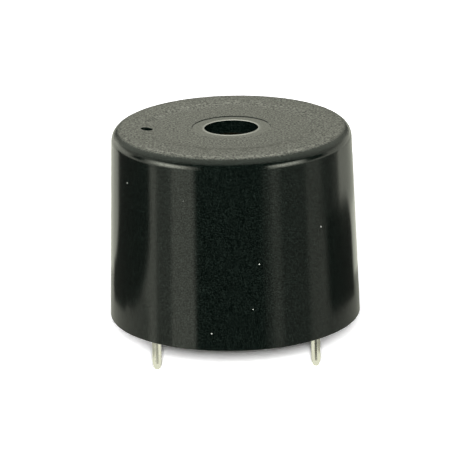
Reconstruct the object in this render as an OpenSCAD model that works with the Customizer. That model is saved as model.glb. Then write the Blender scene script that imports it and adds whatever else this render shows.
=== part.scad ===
// Electronic buzzer: round piezo sounder with its own oscillator, on two solder pins.
// Millimetres. Z = 0 is the board seat under the case's rim, +Z is up, the pins stand along X.

/* [Case] */
// Diameter of the rim that stands on the board
case_d = 23.8; // [23.2:0.1:28]
// Diameter at the top, before the edge is rounded
case_top_d = 22.6; // [21.8:0.1:23.2]
// Height from the rim to the top
case_h = 18.4; // [17.6:0.1:24]
// Radius of the rounded top edge
edge_r = 1.25; // [0.4:0.05:1.4]
// Thickness of the side wall
wall = 1.2; // [0.9:0.05:1.35]
// Thickness of the roof
roof = 1.6; // [1.3:0.1:2.4]
// Width of the ledge that stops the base plate
ledge_w = 0.35; // [0.2:0.05:0.5]
// Width of each rib that stops the circuit board
rib_w = 1.0; // [0.8:0.1:1.6]

/* [Top face] */
// Diameter of the sound hole
sound_hole_d = 5.1; // [3:0.1:6.4]
// Rounding of the sound hole's edge
hole_edge_r = 0.05; // [0.05:0.05:0.25]
// Diameter of the smooth dish around the sound hole
hole_dish_d = 7.4; // [7:0.1:9]
// Depth of the dish around the sound hole
hole_dish_depth = 0.1; // [0.05:0.01:0.3]
// Diameter of the top's shallow floor
face_dish_d = 14.2; // [12:0.1:15]
// Width of the slope up to the top's outer ring
face_slope_w = 1.3; // [0.6:0.1:2]
// Depth of the top's shallow floor
face_dish_depth = 0.12; // [0.05:0.01:0.25]
// Diameter of the polarity dot
dot_d = 1.05; // [0.6:0.05:1.4]
// Depth of the polarity dot
dot_depth = 0.7; // [0.3:0.05:0.9]
// Distance of the polarity dot from the centre, along the pins' line
dot_r = 7.95; // [5.5:0.05:8.5]
// Distance of the polarity dot in front of the pins' line
dot_front = 0.5; // [0:0.05:1]

/* [Base] */
// Depth of the base plate inside the rim
base_inset = 0.4; // [0.2:0.05:0.8]
// Thickness of the base plate
base_t = 1.2; // [1:0.1:1.8]
// Clearance of the base plate in the mouth
base_gap = 0.06; // [0.03:0.01:0.15]
// Height of the base plate's clamping ring
clamp_h = 2.0; // [1.7:0.1:2.6]
// Width of the base plate's clamping ring
clamp_w = 0.8; // [0.6:0.1:0.9]
// Width of the sealing bead on the base plate
bead_w = 0.5; // [0.3:0.05:0.8]

/* [Circuit board] */
// Thickness of the board
board_t = 1.0; // [0.8:0.1:1.6]
// Clearance of the board in the case
board_gap = 0.25; // [0.1:0.05:0.4]
// Clearance of a lead in its hole
hole_gap = 0.08; // [0.05:0.01:0.15]
// Height of a solder joint under the board
joint_h = 0.8; // [0.5:0.1:1]
// Width of the solder around a lead
joint_w = 0.45; // [0.3:0.05:0.5]

/* [Pins] */
// Distance between the two pins
pin_pitch = 15.24; // [13.2:0.01:15.6]
// Diameter of a pin below the base plate
pin_d = 0.9; // [0.7:0.05:1.1]
// Step from the pin to its thicker part in the base plate
pin_step = 0.2; // [0.18:0.01:0.3]
// Length of a pin below the board seat
pin_len = 5.8; // [3:0.1:12]
// Length of the tapered tip
pin_tip_len = 0.6; // [0.4:0.1:1.8]
// Diameter of the tip's end
pin_tip_d = 0.5; // [0.3:0.05:0.6]
// Diameter of a pin's head on the board
pin_head_d = 2.3; // [2.1:0.1:2.6]
// Thickness of a pin's head
pin_head_t = 0.4; // [0.3:0.05:0.6]

/* [Sounder] */
// Diameter of the brass diaphragm
diaphragm_d = 18; // [17.2:0.1:18.4]
// Thickness of the diaphragm
diaphragm_t = 0.2; // [0.1:0.05:0.4]
// Diameter of the ceramic disc
ceramic_d = 13; // [12:0.1:13.6]
// Thickness of the ceramic disc
ceramic_t = 0.2; // [0.1:0.05:0.4]
// Diameter of the ring under the roof, at the middle of its wall
ring_d = 10.4; // [9.4:0.1:11.4]
// Wall of the ring under the roof
ring_w = 0.8; // [0.6:0.1:1.1]
// Height of the sound chamber inside the ring
chamber_h = 2.6; // [1.8:0.1:3.2]
// Thickness of the glue under the ring
glue_t = 0.15; // [0.1:0.05:0.3]
// Spread of the glue on each side of the ring
glue_spread = 0.4; // [0.2:0.05:0.6]

/* [Oscillator] */
// Diameter of a component lead
lead_d = 0.45; // [0.4:0.05:0.6]
// Diameter of a resistor
resistor_d = 1.7; // [1.4:0.1:2]
// Length of a resistor's body
resistor_l = 3.4; // [3:0.1:3.8]
// Distance between a resistor's leads
resistor_pitch = 7.0; // [6.4:0.1:7.4]
// Width of the transistor
transistor_w = 4.6; // [4.2:0.1:4.8]
// Height of the transistor's body
transistor_h = 4.6; // [4:0.1:4.8]
// Distance between the transistor's leads
transistor_pitch = 1.27; // [1.1:0.01:1.5]
// Height of the transistor above the board
transistor_lift = 1.5; // [1:0.1:1.8]

/* [Wires] */
// Diameter of a wire over its insulation
wire_d = 0.7; // [0.5:0.05:0.9]
// Share of the free height over which a wire bends across
wire_share = 0.6; // [0.4:0.05:0.8]
// Height of a solder dot on the piezo element
dot_solder_h = 0.4; // [0.3:0.05:0.5]

/* [Hidden] */
// Facets of large and of small round shapes
$fn = 90;
small = 36;
// Length by which a cut passes the face that it opens
cut = 1;
// Sides of a wire's tube, and steps along its bend
wire_sides = 12;
wire_steps = 16;

// Heights, from the seat up
base_z = base_inset;
ledge_z = base_z + base_t;
board_z = ledge_z + clamp_h;
board_top = board_z + board_t;
roof_z = case_h - roof;
ring_z = roof_z - chamber_h;
diaphragm_top = ring_z - glue_t;
diaphragm_z = diaphragm_top - diaphragm_t;
ceramic_z = diaphragm_z - ceramic_t;
floor_z = case_h - face_dish_depth;
dish_z = floor_z - hole_dish_depth;

// Radii of the drafted side wall
slope = (case_d - case_top_d) / 2 / case_h;
draft = atan(slope);
function out_r(z) = case_d / 2 - slope * z;
function in_r(z) = out_r(z) - wall;
mouth_r = in_r(ledge_z) + ledge_w;
base_r = mouth_r - base_gap;
board_r = in_r(board_top) - board_gap;
rib_in_r = diaphragm_d / 2 + board_gap;
rib_out_r = case_top_d / 2 - 0.35 * wall;
edge_x = out_r(case_h - edge_r) - edge_r / cos(draft);
edge_z = case_h - edge_r;

// Pins, leads and solder
pin_r = pin_d / 2;
shoulder_r = pin_r + pin_step;
lead_r = lead_d / 2;
wire_r = wire_d / 2;
lead_end = board_z - joint_h - 0.2;
pin_xs = [-pin_pitch / 2, pin_pitch / 2];

// Places on the board: resistors by their middle, the transistor by its middle lead
bias_y = -3.6;
base_y = -6.3;
load_y = 5.7;
transistor_y = 0.6;
resistor_z = board_top + resistor_d / 2 + 0.15;
lead_bend = 0.8;
resistor_ys = [bias_y, base_y, load_y];

// Each wire: its hole in the board, its dot on the piezo element and the height of the face under that dot
drive = [[-5.7, 3.3], [-3.9, 2.2], ceramic_z];
feedback = [[5.7, 3.3], [3.9, 2.2], ceramic_z];
ground = [[5.9, -4.7], [4.9, -6.1], diaphragm_z];
wires = [drive, feedback, ground];

// Shared shapes
module ring(inner, outer, z, height) {
    translate([0, 0, z])
        difference() {
            cylinder(r = outer, h = height);
            translate([0, 0, -cut])
                cylinder(r = inner, h = height + 2 * cut);
        }
}

// Outside of the case: drafted side, rounded top edge
module case_outside() {
    rotate_extrude()
        union() {
            polygon([
                [0, 0],
                [case_d / 2, 0],
                [edge_x + edge_r * cos(draft), edge_z + edge_r * sin(draft)],
                [edge_x, case_h],
                [0, case_h]
            ]);
            translate([edge_x, edge_z])
                circle(r = edge_r);
        }
}

// Inside of the case: mouth for the base plate, ledge, drafted wall, roof
module case_inside() {
    rotate_extrude()
        polygon([
            [0, -cut],
            [mouth_r, -cut],
            [mouth_r, ledge_z],
            [in_r(ledge_z), ledge_z],
            [in_r(roof_z), roof_z],
            [0, roof_z]
        ]);
}

// Ribs that stop the board, joined to the wall and to the roof
module case_ribs() {
    for (a = [45:90:315])
        rotate([0, 0, a])
            translate([rib_in_r, -rib_w / 2, board_top])
                cube([rib_out_r - rib_in_r, rib_w, roof_z + roof / 3 - board_top]);
}

// Sound hole with its rounded edge
module sound_hole() {
    rotate_extrude()
        difference() {
            polygon([
                [0, roof_z - cut],
                [sound_hole_d / 2, roof_z - cut],
                [sound_hole_d / 2, dish_z - hole_edge_r],
                [sound_hole_d / 2 + hole_edge_r, dish_z - hole_edge_r],
                [sound_hole_d / 2 + hole_edge_r, dish_z],
                [0, dish_z]
            ]);
            translate([sound_hole_d / 2 + hole_edge_r, dish_z - hole_edge_r])
                circle(r = hole_edge_r, $fn = small);
        }
}

// Everything cut into the top: shallow floor, dish, sound hole, polarity dot
module top_cuts() {
    rotate_extrude()
        polygon([
            [0, dish_z],
            [hole_dish_d / 2, dish_z],
            [hole_dish_d / 2, floor_z],
            [face_dish_d / 2, floor_z],
            [face_dish_d / 2 + face_slope_w, case_h],
            [face_dish_d / 2 + face_slope_w, case_h + cut],
            [0, case_h + cut]
        ]);
    sound_hole();
    translate([-dot_r, -dot_front, floor_z - dot_depth])
        cylinder(d = dot_d, h = dot_depth + cut, $fn = small);
}

module case() {
    color("#1b1c1b")
        difference() {
            union() {
                difference() {
                    case_outside();
                    case_inside();
                }
                ring(ring_d / 2 - ring_w / 2, ring_d / 2 + ring_w / 2, ring_z, chamber_h + roof / 3);
                case_ribs();
            }
            top_cuts();
        }
}

module base_plate() {
    color("#242524")
        difference() {
            union() {
                translate([0, 0, base_z])
                    cylinder(r = base_r, h = base_t);
                ring(board_r - clamp_w, board_r, ledge_z - base_t / 2, clamp_h + base_t / 2);
            }
            for (x = pin_xs)
                translate([x, 0, base_z - cut])
                    cylinder(r = shoulder_r + hole_gap, h = base_t + 2 * cut, $fn = small);
        }
}

// Bead of resin in the corner of the mouth
module seal_bead() {
    color("#161616")
        rotate_extrude()
            polygon([[mouth_r, base_z], [mouth_r - bead_w, base_z], [mouth_r, 0.1]]);
}

// Pin from its tip to its head on the board
module pin(x) {
    color("#c9c8c2")
        translate([x, 0, 0])
            rotate_extrude($fn = small)
                polygon([
                    [0, -pin_len],
                    [pin_tip_d / 2, -pin_len],
                    [pin_r, pin_tip_len - pin_len],
                    [pin_r, base_z],
                    [shoulder_r, base_z],
                    [shoulder_r, board_top],
                    [pin_head_d / 2, board_top],
                    [pin_head_d / 2, board_top + pin_head_t],
                    [0, board_top + pin_head_t]
                ]);
}

module positive_pin() {
    pin(pin_xs[0]);
}

module negative_pin() {
    pin(pin_xs[1]);
}

// Runs its children at every lead of the transistor
module at_transistor_leads() {
    for (i = [-1:1])
        translate([i * transistor_pitch, transistor_y, 0])
            children();
}

// Runs its children at every lead of the resistors
module at_resistor_leads() {
    for (y = resistor_ys)
        for (side = [-1, 1])
            translate([side * resistor_pitch / 2, y, 0])
                children();
}

module circuit_board() {
    color("#a9773f")
        difference() {
            translate([0, 0, board_z])
                cylinder(r = board_r, h = board_t);
            for (x = pin_xs)
                translate([x, 0, board_z - cut])
                    cylinder(r = shoulder_r + hole_gap, h = board_t + 2 * cut, $fn = small);
            at_transistor_leads()
                translate([0, 0, board_z - cut])
                    cylinder(r = lead_r + hole_gap, h = board_t + 2 * cut, $fn = small);
            at_resistor_leads()
                translate([0, 0, board_z - cut])
                    cylinder(r = lead_r + hole_gap, h = board_t + 2 * cut, $fn = small);
            for (w = wires)
                translate([w[0][0], w[0][1], board_z - cut])
                    cylinder(r = wire_r + hole_gap, h = board_t + 2 * cut, $fn = small);
        }
}

// Solder around a lead of radius r, hanging from the board
module joint(r) {
    translate([0, 0, board_z])
        rotate_extrude($fn = small)
            polygon([[r, 0], [r, -joint_h], [r + 0.1, -joint_h], [r + joint_w, 0]]);
}

module solder_joints() {
    color("#b9bbb8") {
        for (x = pin_xs)
            translate([x, 0, 0])
                joint(shoulder_r);
        // The transistor's leads stand close, so their joints are slimmer
        at_transistor_leads()
            translate([0, 0, board_z - joint_h])
                ring(lead_r, lead_r + joint_w / 2, 0, joint_h, $fn = small);
        at_resistor_leads()
            joint(lead_r);
        for (w = wires)
            translate([w[0][0], w[0][1], 0])
                joint(wire_r);
    }
}

// Round body with a flat front
module transistor_body() {
    color("#222222")
        translate([0, transistor_y, board_top + transistor_lift])
            difference() {
                cylinder(d = transistor_w, h = transistor_h);
                translate([-transistor_w, -transistor_w - 0.27 * transistor_w, -cut])
                    cube([2 * transistor_w, transistor_w, transistor_h + 2 * cut]);
            }
}

module transistor_leads() {
    color("#c9c8c2")
        at_transistor_leads()
            translate([0, 0, lead_end])
                cylinder(r = lead_r, h = board_top + transistor_lift - lead_end, $fn = small);
}

// Barrel with a thicker cap at each end, lying along X
module resistor(y) {
    r = resistor_d / 2;
    half = resistor_l / 2;
    translate([0, y, resistor_z])
        rotate([0, 90, 0])
            rotate_extrude($fn = small)
                polygon([
                    [0, -half],
                    [0.7 * r, -half],
                    [r, -half + 0.3],
                    [r, -half + 0.9],
                    [0.88 * r, -half + 1.1],
                    [0.88 * r, half - 1.1],
                    [r, half - 0.9],
                    [r, half - 0.3],
                    [0.7 * r, half],
                    [0, half]
                ]);
}

module bias_resistor() {
    color("#c8b48a")
        resistor(bias_y);
}

module base_resistor() {
    color("#c8b48a")
        resistor(base_y);
}

module load_resistor() {
    color("#c8b48a")
        resistor(load_y);
}

// Lead out of a resistor's end, bent down through the board
module resistor_lead() {
    out = resistor_pitch / 2 - lead_bend - resistor_l / 2;
    translate([resistor_l / 2, 0, resistor_z])
        rotate([0, 90, 0])
            cylinder(r = lead_r, h = out, $fn = small);
    translate([resistor_pitch / 2 - lead_bend, 0, resistor_z - lead_bend])
        rotate([90, 0, 0])
            rotate_extrude(angle = 90, $fn = small)
                translate([lead_bend, 0])
                    circle(r = lead_r);
    translate([resistor_pitch / 2, 0, lead_end])
        cylinder(r = lead_r, h = resistor_z - lead_bend - lead_end, $fn = small);
}

module resistor_leads() {
    color("#c9c8c2")
        for (y = resistor_ys)
            translate([0, y, 0]) {
                resistor_lead();
                mirror([1, 0, 0])
                    resistor_lead();
            }
}

module diaphragm() {
    color("#c9a04a")
        translate([0, 0, diaphragm_z])
            cylinder(d = diaphragm_d, h = diaphragm_t);
}

module piezo_ceramic() {
    color("#e4e0d6")
        translate([0, 0, ceramic_z])
            cylinder(d = ceramic_d, h = ceramic_t);
}

// Soft glue, wider on the diaphragm than on the ring
module glue_ring() {
    inner = ring_d / 2 - ring_w / 2;
    outer = ring_d / 2 + ring_w / 2;
    color("#d9d8d2")
        rotate_extrude()
            polygon([
                [inner, ring_z],
                [outer, ring_z],
                [outer + glue_spread, diaphragm_top],
                [inner - glue_spread, diaphragm_top]
            ]);
}

module piezo_solder() {
    color("#b9bbb8")
        for (w = wires)
            translate([w[1][0], w[1][1], w[2] - dot_solder_h])
                cylinder(r1 = wire_r + 0.05, r2 = wire_r + 0.35, h = dot_solder_h, $fn = small);
}

// Wire up from the board, across and up to its solder dot: one tube along an S-shaped route
module wire(w) {
    away = norm(w[1] - w[0]);
    top = w[2] - dot_solder_h;
    rise = wire_share * (top - board_top);
    low = (board_top + top - rise) / 2;
    shares = [for (i = [0:wire_steps]) i / wire_steps];
    // Each ring of the tube: distance along, height and slope of the route there
    route = concat(
        [[0, lead_end, 0]],
        [for (u = shares) [
            away * (u - sin(360 * u) / (2 * PI)),
            low + rise * u,
            away / rise * (1 - cos(360 * u))
        ]],
        [[away, top, 0]]
    );
    points = [for (q = route) for (j = [0:wire_sides - 1])
        let (a = 360 * j / wire_sides, l = norm([1, q[2]]))
            [q[0] + wire_r * cos(a) / l, wire_r * sin(a), q[1] - wire_r * cos(a) * q[2] / l]];
    last = (len(route) - 1) * wire_sides;
    sides = [for (i = [0:len(route) - 2]) for (j = [0:wire_sides - 1])
        let (a = i * wire_sides + j, b = i * wire_sides + (j + 1) % wire_sides)
            each [[a, a + wire_sides, b], [b, a + wire_sides, b + wire_sides]]];
    ends = [[for (j = [0:wire_sides - 1]) j], [for (j = [wire_sides - 1:-1:0]) last + j]];
    translate([w[0][0], w[0][1], 0])
        rotate([0, 0, atan2(w[1][1] - w[0][1], w[1][0] - w[0][0])])
            polyhedron(points, concat(sides, ends));
}

module drive_wire() {
    color("#a8302a")
        wire(drive);
}

module feedback_wire() {
    color("#d8d8d4")
        wire(feedback);
}

module ground_wire() {
    color("#232323")
        wire(ground);
}

case();
base_plate();
seal_bead();
positive_pin();
negative_pin();
circuit_board();
solder_joints();
transistor_body();
transistor_leads();
bias_resistor();
base_resistor();
load_resistor();
resistor_leads();
diaphragm();
piezo_ceramic();
glue_ring();
piezo_solder();
drive_wire();
feedback_wire();
ground_wire();
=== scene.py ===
"""Dressed model of an electronic buzzer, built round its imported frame.

Metres, in the part's own frame: Z = 0 is the board seat under the case's rim, +Z is up, and the two
pins stand along X. Sizes in the classes are in millimetres, as in the part's source, and MM turns them
into metres.
"""

import logging
import math
from collections.abc import Sequence
from dataclasses import dataclass
from enum import Enum, IntEnum
from typing import Any

import bmesh
import bpy
import numpy as np
from mathutils import Matrix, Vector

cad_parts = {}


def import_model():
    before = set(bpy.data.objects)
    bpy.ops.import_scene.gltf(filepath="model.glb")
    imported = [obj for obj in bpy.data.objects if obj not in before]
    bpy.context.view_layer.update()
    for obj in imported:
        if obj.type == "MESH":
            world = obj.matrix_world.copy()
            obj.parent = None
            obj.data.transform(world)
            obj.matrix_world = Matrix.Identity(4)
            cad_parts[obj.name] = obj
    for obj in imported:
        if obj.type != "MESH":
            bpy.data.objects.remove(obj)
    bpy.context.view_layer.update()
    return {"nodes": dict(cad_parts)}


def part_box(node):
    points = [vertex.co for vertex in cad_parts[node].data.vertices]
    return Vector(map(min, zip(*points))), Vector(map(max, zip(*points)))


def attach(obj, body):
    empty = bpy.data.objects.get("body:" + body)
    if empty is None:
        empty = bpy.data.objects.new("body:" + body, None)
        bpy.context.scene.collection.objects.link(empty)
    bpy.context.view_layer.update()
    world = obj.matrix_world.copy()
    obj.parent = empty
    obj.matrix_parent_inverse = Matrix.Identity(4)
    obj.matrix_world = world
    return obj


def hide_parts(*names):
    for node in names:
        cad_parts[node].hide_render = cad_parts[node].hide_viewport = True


LOG = logging.getLogger("buzzer")
MM = 0.001
BODY = "root"
# Reach of a card that counts as one degree of its band when its corners are rounded
MM_PER_DEGREE = 2.0
# Power of a lamp of light 1 that stands a metre away
LAMP_WATTS = 4.0
# Most values of a noise lie in this span
NOISE_SPAN = (0.3, 0.7)
ABS_IOR = 1.52
# Least difference of height that sets two rows of a profile apart, in millimetres
TINY = 0.001
WHITE = (1.0, 1.0, 1.0, 1.0)

Colour = tuple[float, float, float, float]
Span = tuple[float, float]
Material = bpy.types.Material
Object = bpy.types.Object
Tree = bpy.types.NodeTree
Node = bpy.types.Node
Socket = bpy.types.NodeSocket
Inputs = dict[str | int, Any]


class Slot(Enum):
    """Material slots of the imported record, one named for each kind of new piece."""

    CASE = "case_plastic"
    PIN = "tinned_pin"
    SEAL = "seal_resin"


class Face(IntEnum):
    """Finishes of the case, in the order of its materials."""

    POLISHED = 0
    SPARKED = 1
    SATIN = 2


def linear(code: str) -> Colour:
    """Turns an sRGB hex colour into linear light.

    Args:
        code: Colour such as "#c9c8c2".

    Returns:
        Linear red, green and blue, and an alpha of 1.
    """
    channels = np.array([int(code[i:i + 2], 16) for i in (1, 3, 5)]) / 255.0
    light = np.where(channels <= 0.04045, channels / 12.92, ((channels + 0.055) / 1.055) ** 2.4)
    return (*map(float, light), 1.0)


def per_mm(size: float) -> float:
    """Texture scale at which one feature is about that many millimetres wide."""
    return 1.0 / (size * MM)


def smooth(share: np.ndarray) -> np.ndarray:
    """Smooth step of a share: s s (3 - 2 s), after s is kept between 0 and 1."""
    share = np.clip(share, 0, 1)
    return share * share * (3 - 2 * share)


def emptied(owner: Material | bpy.types.World) -> Tree:
    """Gives a material or a world an empty node tree.

    Args:
        owner: The material or world.

    Returns:
        Its node tree.
    """
    owner.use_nodes = True
    owner.node_tree.nodes.clear()
    return owner.node_tree


def node(tree: Tree, kind: str, inputs: Inputs | Sequence[Any] = (), **settings: Any) -> Node:
    """Adds one shader node with its settings and links.

    Args:
        tree: Node tree of the material or world.
        kind: Blender's name of the node type, without the ShaderNode that it starts with.
        inputs: What each socket gets, by its name or number, or else for the first sockets in order. That is
            a value, an output that feeds it, or a node whose first output in use feeds it.
        **settings: Properties of the node itself.

    Returns:
        The new node.
    """
    made = tree.nodes.new("ShaderNode" + kind)
    for name, value in settings.items():
        setattr(made, name, value)
    for socket, value in (inputs if isinstance(inputs, dict) else dict(enumerate(inputs))).items():
        if isinstance(value, Node):
            value = next(output for output in value.outputs if output.enabled)
        if isinstance(value, Socket):
            tree.links.new(value, made.inputs[socket])
        else:
            made.inputs[socket].default_value = value
    return made


# Surfaces


def rounded(corners: np.ndarray, closed: bool, steps: int = 9, margin: float = 0.015) -> np.ndarray:
    """Rounds the corners of a profile.

    At a corner whose two sides make the angle A, the arc of radius R touches each side at R / tan(A / 2)
    from the corner. Its centre lies on the bisector at R / sin(A / 2), and the arc turns from one touching
    point to the other by spherical interpolation. A row beside each end of the arc keeps the flat next to
    it flat in smooth shading.

    Args:
        corners: Rows of radius, height and rounding, in millimetres.
        closed: True if the last corner joins the first, or False if both ends stay as they are.
        steps: Points on each arc.
        margin: Distance of the row beside an arc, in millimetres.

    Returns:
        Rows of radius and height.
    """
    places, radii = corners[:, :2], corners[:, 2]
    before, after = np.roll(places, 1, 0) - places, np.roll(places, -1, 0) - places
    if not closed:
        places, radii, before, after = places[1:-1], radii[1:-1], before[1:-1], after[1:-1]
    before /= np.linalg.norm(before, axis=1, keepdims=True)
    after /= np.linalg.norm(after, axis=1, keepdims=True)
    half = np.arccos(np.clip((before * after).sum(1), -1, 1)) / 2
    touch = (radii / np.tan(half))[:, None]
    middle = before + after
    middle /= np.linalg.norm(middle, axis=1, keepdims=True)
    centre = places + middle * (radii / np.sin(half))[:, None]
    first, last = places + before * touch - centre, places + after * touch - centre
    turn = (math.pi - 2 * half)[:, None, None]
    share = np.linspace(0, 1, steps)[None, :, None]
    arcs = centre[:, None] + (np.sin((1 - share) * turn) * first[:, None]
                              + np.sin(share * turn) * last[:, None]) / np.sin(turn)
    rows = np.concatenate([
        (places + before * (touch + margin))[:, None], arcs, (places + after * (touch + margin))[:, None]
    ], axis=1).reshape(-1, 2)
    return rows if closed else np.vstack([corners[:1, :2], rows, corners[-1:, :2]])


def divided(rows: np.ndarray, longest: float) -> np.ndarray:
    """Divides the long steps of a closed profile evenly.

    Args:
        rows: Rows of radius and height, in millimetres.
        longest: Longest step to leave.

    Returns:
        The rows with the new ones between them.
    """
    step = np.roll(rows, -1, 0) - rows
    count = np.maximum(1, np.ceil(np.hypot(step[:, 0], step[:, 1]) / longest).astype(int))
    start = np.repeat(np.arange(len(rows)), count)
    share = (np.arange(count.sum()) - np.repeat(np.cumsum(count) - count, count)) / count[start]
    return rows[start] + step[start] * share[:, None]


def turned(rows: np.ndarray, columns: int, x: float = 0.0) -> np.ndarray:
    """Carries a profile round the upright axis through x: (r cos a + x, r sin a, z).

    Args:
        rows: Rows of radius and height.
        columns: Steps round the axis.
        x: Place of the axis.

    Returns:
        Points, one row of the profile after the other.
    """
    angle = np.arange(columns) * (2 * math.pi / columns)
    radius = rows[:, :1]
    height = np.broadcast_to(rows[:, 1:], (len(rows), columns))
    return np.stack([radius * np.cos(angle) + x, radius * np.sin(angle), height], axis=2).reshape(-1, 3)


def between(lower: np.ndarray, upper: np.ndarray) -> np.ndarray:
    """Makes four-sided faces between closed loops of vertices.

    Args:
        lower: Vertex numbers of each loop, one loop a row.
        upper: Vertex numbers of the loops that follow them.

    Returns:
        Four vertex numbers a face.
    """
    quads = np.stack([lower, np.roll(lower, -1, 1), np.roll(upper, -1, 1), upper], axis=2)
    return quads.reshape(-1, 4)


def fan(loop: np.ndarray, centre: int) -> np.ndarray:
    """Makes three-sided faces from a closed loop of vertices to one vertex in its middle."""
    return np.stack([loop, np.roll(loop, -1), np.full_like(loop, centre)], axis=1)


def solid(name: str, points: np.ndarray, faces: list[Any]) -> Object:
    """Makes an object from points and faces and puts it in the scene.

    Args:
        name: Name of the object.
        points: Points in millimetres.
        faces: Vertex numbers of each face.

    Returns:
        The new object, at the origin.
    """
    mesh = bpy.data.meshes.new(name)
    mesh.from_pydata(points * MM, [], faces)
    made = bpy.data.objects.new(name, mesh)
    bpy.context.scene.collection.objects.link(made)
    return made


def piece(name: str, points: np.ndarray, faces: list[np.ndarray], finishes: list[Material],
          slot: Slot, which: np.ndarray | None = None) -> Object:
    """Makes a piece of the buzzer from a closed surface.

    Args:
        name: Name of the piece.
        points: Points in millimetres.
        faces: Arrays of vertex numbers, one array for each number of corners.
        finishes: Materials of the piece.
        slot: The record's slot for its finish; not used.
        which: Number of the material of each face, or None for the first.

    Returns:
        The new object, riding on the buzzer's body.
    """
    made = solid(name, points, [face for block in faces for face in block.tolist()])
    mesh = made.data
    shell = bmesh.new()
    shell.from_mesh(mesh)
    bmesh.ops.recalc_face_normals(shell, faces=shell.faces)
    shell.to_mesh(mesh)
    shell.free()
    count = len(mesh.polygons)
    mesh.polygons.foreach_set("use_smooth", np.ones(count, bool))
    for finish in finishes:
        mesh.materials.append(finish)
    if which is not None:
        mesh.polygons.foreach_set("material_index", which.astype(np.int32))
    mesh.update()
    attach(made, BODY)
    LOG.info("%s: %d faces", name, count)
    return made


# Finishes


@dataclass(frozen=True)
class Finish:
    """What every finish shares: its name and a shader on Object coordinates."""

    name: str

    def make(self) -> Material:
        """Builds the material.

        Returns:
            The new material.
        """
        material = bpy.data.materials.new(self.name)
        tree = emptied(material)
        place = node(tree, "TexCoord").outputs["Object"]
        shader = node(tree, "BsdfPrincipled", self.dress(tree, place))
        node(tree, "OutputMaterial", [shader])
        return material

    def dress(self, tree: Tree, place: Socket) -> Inputs:
        """Adds the finish's own nodes.

        Args:
            tree: Node tree of the material.
            place: Object coordinates, in metres.

        Returns:
            Inputs of the material's Principled shader.
        """
        raise NotImplementedError

    def from_axis(self, tree: Tree, place: Socket) -> Node:
        """Measures how far each point lies from the buzzer's axis.

        Args:
            tree: Node tree of the material.
            place: Object coordinates, in metres.

        Returns:
            Node that gives the distance, in metres.
        """
        flat = node(tree, "VectorMath", (place, (1.0, 1.0, 0.0)), operation="MULTIPLY")
        return node(tree, "VectorMath", [flat], operation="LENGTH")


@dataclass(frozen=True)
class PolishedAbs(Finish):
    """ABS moulded against polished steel.

    It is deep black with a slight green cast and faint flecks of pigment. A slow shrinkage wave bends its
    sharp reflections a little, and a few specks of dust lie on it. Flecks and specks are drawn coarse
    enough to show.
    """

    deep: str = "#000302"
    pale: str = "#171f1b"
    dust: str = "#b9bcb4"
    roughness: Span = (0.1, 0.15)
    wave: float = 6.0
    wave_height: float = 0.006
    fleck: float = 0.1
    fleck_span: Span = (0.45, 0.75)
    speck_gap: float = 1.9
    speck: float = 0.14
    speck_shift: tuple[float, float, float] = (0.9, 0.5, 0.7)
    share: float = 0.8
    gloss: Span = (0.32, 0.68)

    def dress(self, tree: Tree, place: Socket) -> Inputs:
        """Adds the shrinkage wave, the uneven polish, the flecks and the dust.

        Args:
            tree: Node tree of the material.
            place: Object coordinates, in metres.

        Returns:
            Inputs of the shader.
        """
        wave = node(tree, "TexNoise", {"Vector": place, "Scale": per_mm(self.wave), "Detail": 1.0})
        bump = node(tree, "Bump", {"Height": wave, "Distance": self.wave_height * MM})
        polish = node(tree, "MapRange", (wave, *NOISE_SPAN, *self.roughness))
        fleck = node(tree, "TexNoise", {"Vector": place, "Scale": per_mm(self.fleck), "Detail": 1.0})
        shade = node(tree, "MapRange", (fleck, *self.fleck_span))
        black = node(tree, "Mix", {0: shade, 6: linear(self.deep), 7: linear(self.pale)}, data_type="RGBA")
        # Pits too small to see one by one take some of the gloss away
        gloss = node(tree, "MapRange", (fleck, *NOISE_SPAN, *self.gloss))
        # A speck shows where the surface passes close to a cell's point, in a share of the cells
        moved = node(tree, "VectorMath", (place, [step * MM for step in self.speck_shift]), operation="ADD")
        cells = node(tree, "TexVoronoi", {"Vector": moved, "Scale": per_mm(self.speck_gap)})
        near = node(tree, "Math", (cells, self.speck / self.speck_gap / 2), operation="LESS_THAN")
        chance = node(tree, "SeparateColor", [cells.outputs["Color"]])
        kept = node(tree, "Math", (chance, self.share), operation="LESS_THAN")
        speck = node(tree, "Math", (near, kept), operation="MULTIPLY")
        tone = node(tree, "Mix", {0: speck, 6: black, 7: linear(self.dust)}, data_type="RGBA")
        return {"Base Color": tone, "Roughness": polish, "Specular IOR Level": gloss, "Normal": bump,
                "IOR": ABS_IOR}


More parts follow.
